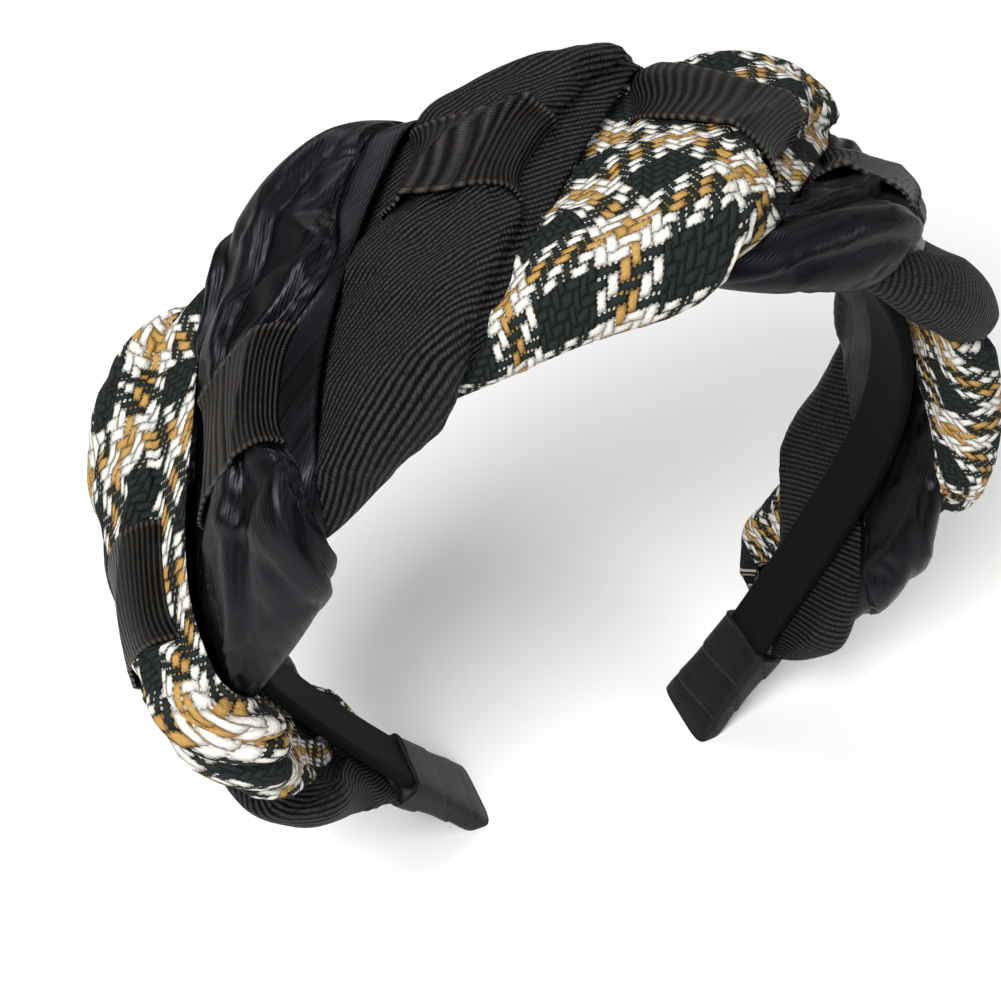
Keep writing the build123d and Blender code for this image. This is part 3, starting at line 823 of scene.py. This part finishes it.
# %% Lay one thread over the other
def float_of(number, way, width):
    """How far along its float of four a thread is, and how high it stands there."""
    total = node(tree, "Math", [(0, way), (1, number)], operation="ADD")
    place = node(tree, "Math", [(0, total), (1, 4.0)], operation="FLOORED_MODULO")
    arch = node(tree, "Math", [(0, ripples(tree, place, 4.0))], operation="ABSOLUTE")
    height = node(tree, "Math", [(0, arch), (1, ripples(tree, width, 2.0))], operation="MULTIPLY")
    return place, node(tree, "Math", [(0, height), (1, 0.45)], operation="POWER")


warp_place, warp_height = float_of(warp_number, along_weft, in_warp)
_, weft_height = float_of(weft_number, along_warp, in_weft)
warp_over = node(tree, "Math", [(0, warp_place), (1, 2.0)], operation="LESS_THAN")
height = node(tree, "Mix", [(0, warp_over), (2, weft_height), (3, warp_height)])

# The thread beneath shows as small dots at the sides of the one on top
double_way = node(tree, "Mix", [(0, warp_over), (2, in_warp), (3, in_weft)])
bead = node(tree, "Math", [(0, ripples(tree, double_way, 1.0))], operation="ABSOLUTE")
single_way = node(tree, "Mix", [(0, warp_over), (2, in_weft), (3, in_warp)])
single_way = node(tree, "Math", [(0, single_way), (1, 2 * math.pi)], operation="MULTIPLY")
rim = node(tree, "Math", [(0, single_way)], operation="COSINE")
dot = node(tree, "Math", [(0, bead), (1, rim)], operation="MULTIPLY")
dot = node(tree, "MapRange", [(0, dot), (1, 0.55), (2, 0.7), (3, 0.0), (4, 0.9)])

# %% Dye the threads
def dyed(number, repeat):
    """Colour of a thread by its number: two cream, two tan, two cream, then ground to the repeat."""
    threads = repeat.coloured + repeat.ground
    place = node(tree, "Math", [(0, number), (1, float(threads))], operation="FLOORED_MODULO")
    place = node(tree, "Math", [(0, place), (1, 0.5)], operation="ADD")
    place = node(tree, "Math", [(0, place), (1, float(threads))], operation="DIVIDE")
    stops = [(0.0, CREAM), (2 / threads, TAN), (4 / threads, CREAM), (6 / threads, GROUND)]
    return node(tree, "ValToRGB", [(0, place)], stops, "CONSTANT")


warp_colour, weft_colour = dyed(warp_number, WARP), dyed(weft_number, WEFT)
on_top = node(tree, "Mix", [(0, warp_over), (6, weft_colour), (7, warp_colour)], data_type="RGBA")
beneath = node(tree, "Mix", [(0, warp_over), (6, warp_colour), (7, weft_colour)], data_type="RGBA")
colour = node(tree, "Mix", [(0, dot), (6, on_top), (7, beneath)], data_type="RGBA")

# Painted shade: the colour is darker between the threads, where light doesn't reach, and the wool's fibres
# vary
depth = node(tree, "MapRange", [(0, height), (1, 0.2), (2, 0.85), (3, 0.35), (4, 1.0)])
depth = node(tree, "Math", [(0, depth), (1, dot)], operation="MAXIMUM")
fibre = node(tree, "TexNoise", [("Vector", cloth), ("Scale", 3.5), ("Detail", 3.0)], noise_dimensions="2D")
tone = node(tree, "MapRange", [(0, fibre), (1, 0.3), (2, 0.7), (3, 0.82), (4, 1.08)])
tone = node(tree, "Math", [(0, tone), (1, depth)], operation="MULTIPLY")
grey = node(tree, "CombineXYZ", [(0, tone), (1, tone), (2, tone)])
shaded = node(tree, "Mix", [(0, 1.0), (6, colour), (7, grey)], data_type="RGBA", blend_type="MULTIPLY")
relief = node(tree, "Math", [(0, fibre), (1, 0.35), (2, height)], operation="MULTIPLY_ADD")
clothe(tree, shader, shaded.outputs[2], relief, 0.7 * MM)
print(tweed_look.name, len(tree.nodes), "nodes")

# %% [markdown]
# ### Ribbed cloth
# A matt black polyester cloth with fine raised ribs about 1 mm apart, each bound by tiny stitches, so a
# rib looks like a row of beads. It was woven with thick cords under a thin face. The eye sees thin grey
# lines that follow the cloth's slant, dark between them, and both are painted: a painted highlight on
# each rib's crest and painted shade in the hollows.

# %% Rib the black cloth
# Spacing of the ribs, and of the stitches along a rib, in millimetres
RIB, BEAD = 1.0, 0.55
ribbed_look, tree, shader = fresh("black_ribbed_polyester_woven", 0.6, Specular_IOR_Level=0.14)
cloth = node(tree, "UVMap", uv_map="cloth")
axes = node(tree, "SeparateXYZ", [(0, cloth)])
across = node(tree, "Math", [(0, axes.outputs[1]), (1, math.pi / RIB)], operation="MULTIPLY")
ridge = node(tree, "Math", [(0, across)], operation="SINE")
ridge = node(tree, "Math", [(0, ridge)], operation="ABSOLUTE")
ridge = node(tree, "Math", [(0, ridge), (1, 0.7)], operation="POWER")
stitches = [(0, axes.outputs[0]), (1, 2 * math.pi / BEAD), (2, across)]
along = node(tree, "Math", stitches, operation="MULTIPLY_ADD")
beads = node(tree, "Math", [(0, along)], operation="SINE")
beads = node(tree, "MapRange", [(0, beads), (1, -1.0), (2, 1.0), (3, 0.82), (4, 1.0)])
height = node(tree, "Math", [(0, ridge), (1, beads)], operation="MULTIPLY")
speckle = node(tree, "TexNoise", [("Vector", cloth), ("Scale", 1.7), ("Detail", 3.0)], noise_dimensions="2D")
tone = node(tree, "Math", [(0, speckle), (1, 0.5)], operation="ADD")
tone = node(tree, "Math", [(0, tone), (1, height)], operation="MULTIPLY")
# Painted highlight and shade: the colour is lighter where a rib stands higher, darker in its hollows, and
# varies a little at random
colour = node(tree, "ValToRGB", [(0, tone)], [(0.15, "#010101"), (0.6, "#0a0a0b"), (1.0, "#343235")])
clothe(tree, shader, colour.outputs[0], height, 0.5 * MM)
print(ribbed_look.name, "ribs", RIB, "mm apart")

# %% [markdown]
# ### Satin
# A blue-black polyester satin: long floats on its face, laid so close that it shines along the folds, over
# a fine twill that shows only near by. Typical polyester has an IOR near 1.55. Its shine is soft, with
# streaks where the floats lie unevenly, and the cloth has a violet-blue cast in the light.

# %% Lay the satin
# Spacing of the twill's lines in millimetres, and how far they lean
TWILL, TWILL_SLOPE = 0.5, 0.45
settings = {"IOR": 1.55, "Specular_IOR_Level": 0.2, "Specular_Tint": linear("#dde1f0")}
satin_look, tree, shader = fresh("blue_black_polyester_satin", 0.38, **settings)
cloth = node(tree, "UVMap", uv_map="cloth")
streaks = node(tree, "Mapping", [(0, cloth), ("Scale", (0.05, 1.4, 1.0))])
streak = node(tree, "TexNoise", [("Vector", streaks), ("Scale", 1.0), ("Detail", 4.0)], noise_dimensions="2D")
axes = node(tree, "SeparateXYZ", [(0, cloth)])
slope = [(0, axes.outputs[0]), (1, TWILL_SLOPE), (2, axes.outputs[1])]
twill = node(tree, "Math", slope, operation="MULTIPLY_ADD")
twill = ripples(tree, twill, TWILL)
cloud = node(tree, "TexNoise", [("Vector", cloth), ("Scale", 0.08), ("Detail", 2.0)], noise_dimensions="2D")
tone = node(tree, "Math", [(0, streak), (1, cloud)], operation="ADD")
colour = node(tree, "ValToRGB", [(0, tone)], [(0.7, "#010102"), (1.0, "#040405"), (1.0, "#090a0d")])
gloss = node(tree, "MapRange", [(0, streak), (1, 0.3), (2, 0.7), (3, 0.30), (4, 0.50)])
tree.links.new(gloss.outputs[0], shader.inputs["Roughness"])
height = node(tree, "Math", [(0, streak), (1, 1.5), (2, twill)], operation="MULTIPLY_ADD")
clothe(tree, shader, colour.outputs[0], height, 0.01 * MM)
print(satin_look.name, "twill lines", TWILL, "mm apart")

# %% [markdown]
# ### Grosgrain
# The narrow ribbon is black grosgrain: its thick weft makes ribs across it, 1.1 mm apart, and turns back
# at each edge in a row of tiny loops. The eye sees a grey line on every rib, brownish in the hollows: a
# painted highlight on each crest and painted shade in the hollows, and the loops have a painted highlight.

# %% Weave the grosgrain
# Spacing of the ribs across the ribbon, and of the fine threads along it, in millimetres
CORD, FINE_WARP = 1.1, 0.4
# How far from the ribbon's middle line its loops start, and from where they are whole
LOOPS_FROM, LOOPS_WHOLE = RIBBON_WIDTH / 2 - 0.9, RIBBON_WIDTH / 2 - 0.5
grosgrain_look, tree, shader = fresh("black_grosgrain_woven", 0.45, Specular_IOR_Level=0.2)
cloth = node(tree, "UVMap", uv_map="cloth")
axes = node(tree, "SeparateXYZ", [(0, cloth)])
cord = node(tree, "Math", [(0, ripples(tree, axes.outputs[0], 2 * CORD))], operation="ABSOLUTE")
cord = node(tree, "Math", [(0, cord), (1, 0.8)], operation="POWER")
edge = node(tree, "Math", [(0, axes.outputs[1])], operation="ABSOLUTE")
edge = node(tree, "MapRange", [(0, edge), (1, LOOPS_FROM), (2, LOOPS_WHOLE), (3, 0.0), (4, 1.0)])
loops = node(tree, "Math", [(0, cord), (1, edge)], operation="MULTIPLY")
warp = ripples(tree, axes.outputs[1], FINE_WARP)
height = node(tree, "Math", [(0, warp), (1, 0.07), (2, cord)], operation="MULTIPLY_ADD")
height = node(tree, "Math", [(0, height), (1, loops)], operation="ADD")
fleck = node(tree, "TexNoise", [("Vector", cloth), ("Scale", 1.2), ("Detail", 4.0)], noise_dimensions="2D")
tone = node(tree, "Math", [(0, fleck), (1, 0.5)], operation="ADD")
tone = node(tree, "Math", [(0, tone), (1, cord)], operation="MULTIPLY")
# Painted highlight and shade: the colour is lighter on each cord's crest, darker in its hollows, with random
# flecks
face = node(tree, "ValToRGB", [(0, tone)], [(0.15, "#020202"), (0.6, "#0b0908"), (1.0, "#231e1b")])
# Painted highlight: the tiny loops at each edge are lighter where they stand up
edge_loop_highlight = node(tree, "Mix", [(0, loops), (6, face), (7, linear("#453f3a"))], data_type="RGBA")
clothe(tree, shader, edge_loop_highlight.outputs[2], height, 0.5 * MM)
print(grosgrain_look.name, "cords", CORD, "mm apart")

# %% [markdown]
# ### End ribbon and hoop cover
# The ends are wound in a dark satin ribbon with fine cross lines. The hoop wears a matt black ribbon,
# glued on smooth. Its weave is 0.3 mm fine, and drawn at 0.6 mm so that it shows.

# %% Finish the end ribbons and the hoop
FINE_LINES = 0.6
# A wave texture has this many turns for each unit of its scale and of length
WAVE_TURNS = 20 / (2 * math.pi)
end_look, tree, shader = fresh("dark_satin_ribbon_wound", 0.45, IOR=1.55, Specular_IOR_Level=0.2)
cloth = node(tree, "UVMap", uv_map="cloth")
axes = node(tree, "SeparateXYZ", [(0, cloth)])
lines = ripples(tree, axes.outputs[0], FINE_LINES)
cloud = node(tree, "TexNoise", [("Vector", cloth), ("Scale", 0.35), ("Detail", 4.0)], noise_dimensions="2D")
colour = node(tree, "ValToRGB", [(0, cloud)], [(0.3, "#070606"), (0.7, "#100e0e")])
height = node(tree, "Math", [(0, cloud), (1, 6.0), (2, lines)], operation="MULTIPLY_ADD")
clothe(tree, shader, colour.outputs[0], height, 0.02 * MM)

hoop_look, tree, shader = fresh("matt_black_ribbon_cover", 0.8, Specular_IOR_Level=0.12)
place = node(tree, "TexCoord").outputs["Object"]
scale = 1 / (WAVE_TURNS * FINE_LINES * MM)
wave = node(tree, "TexWave", [("Vector", place), ("Scale", scale), ("Distortion", 0.6)], bands_direction="Z")
grain = node(tree, "TexNoise", [("Vector", place), ("Scale", 900.0), ("Detail", 3.0)])
tone = node(tree, "Math", [(0, wave.outputs["Fac"]), (1, grain)], operation="MULTIPLY")
colour = node(tree, "ValToRGB", [(0, tone)], [(0.1, "#050506"), (0.7, "#111113")])
clothe(tree, shader, colour.outputs[0], tone, 0.1 * MM, strength=0.8)
print(end_look.name, "and", hoop_look.name)

# %% Give every piece its finish and its place under the root, in the stead of its solid
looks = {"satin": satin_look, "tweed": tweed_look, "ribbed": ribbed_look}
strands = {"satin": satin, "tweed": tweed, "ribbed": ribbed}
for name, piece in strands.items():
    piece.data.materials.append(looks[name])
    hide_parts(f"{name}_strand")
    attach(piece, "root")
for number, (piece, name, length) in enumerate(ties, 1):
    piece.data.materials.append(grosgrain_look)
    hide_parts(f"ribbon_tie_{number}")
    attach(piece, "root")
for side, piece in end_wraps.items():
    piece.data.materials.append(end_look)
    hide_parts(f"end_wrap_{side}")
    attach(piece, "root")
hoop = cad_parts["hoop"]
hoop.data.materials.clear()
hoop.data.materials.append(hoop_look)
print(len(strands) + len(ties) + len(end_wraps), "soft pieces in the place of their solids")

# %% [markdown]
# ## Floor, light and camera
# The light of a shop photograph is soft and comes from all round, so the surroundings are white and three
# large lamps shape the folds. The camera stands where the photograph was taken from.

# %% Floor and light
bm = bmesh.new()
bmesh.ops.create_grid(bm, x_segments=1, y_segments=1, size=3.0)
floor = finished(bm, "floor")
floor_look, tree, shader = fresh("white_card", 0.95)
shader.inputs["Base Color"].default_value = linear("#fbfbfa")
floor.data.materials.append(floor_look)

world = bpy.data.worlds.new("studio")
bpy.context.scene.world = world
world.use_nodes = True
world.node_tree.nodes["Background"].inputs["Color"].default_value = (1, 1, 1, 1)
world.node_tree.nodes["Background"].inputs["Strength"].default_value = 0.24


def soft_light(name, azimuth, elevation, distance, size, power):
    """Square light that looks at the braid from an azimuth and an elevation in degrees."""
    lamp = bpy.data.lights.new(name, "AREA")
    lamp.size = size
    lamp.energy = power
    light = bpy.data.objects.new(name, lamp)
    turn = Euler((math.radians(90 - elevation), 0, math.radians(azimuth)))
    stand = Vector((0, 0, 0.1)) + turn.to_matrix() @ Vector((0, 0, distance))
    light.matrix_world = Matrix.Translation(stand) @ turn.to_matrix().to_4x4()
    bpy.context.collection.objects.link(light)


soft_light("key", -50, 50, 0.9, 0.4, 9)
soft_light("fill", 60, 35, 1.2, 0.5, 3)
soft_light("back", 170, 50, 1.0, 0.6, 3.5)
print("lamps", [lamp.name for lamp in bpy.data.lights])

# %% Camera
# Degrees round, down and of roll, millimetres from the crown, and the photo's focal length and width
CAMERA_AZIMUTH, CAMERA_ELEVATION, CAMERA_ROLL = 20.23, 47.20, 3.61
CAMERA_FROM_CROWN = (-86.58, -196.29, 172.23)
PHOTO_FOCAL, PHOTO_WIDTH = 1774.6, 1001
camera = bpy.data.objects.new("camera", bpy.data.cameras.new("camera"))
SENSOR_WIDTH = 36
camera.data.sensor_width = SENSOR_WIDTH
camera.data.lens = PHOTO_FOCAL / PHOTO_WIDTH * SENSOR_WIDTH
turn = Euler((math.radians(90 - CAMERA_ELEVATION), 0, -math.radians(CAMERA_AZIMUTH))).to_matrix()
turn = turn @ Matrix.Rotation(-math.radians(CAMERA_ROLL), 3, "Z")
stand = Vector(CROWN) + Vector(CAMERA_FROM_CROWN) * MM
camera.matrix_world = Matrix.Translation(stand) @ turn.to_4x4()
bpy.context.collection.objects.link(camera)
bpy.context.scene.camera = camera
# A shop photograph is printed with pure whites and deep blacks, so no film curve lifts them
bpy.context.scene.view_settings.view_transform = "Standard"
print("lens", round(camera.data.lens, 1), "mm, camera at", [round(value / MM) for value in stand], "mm")
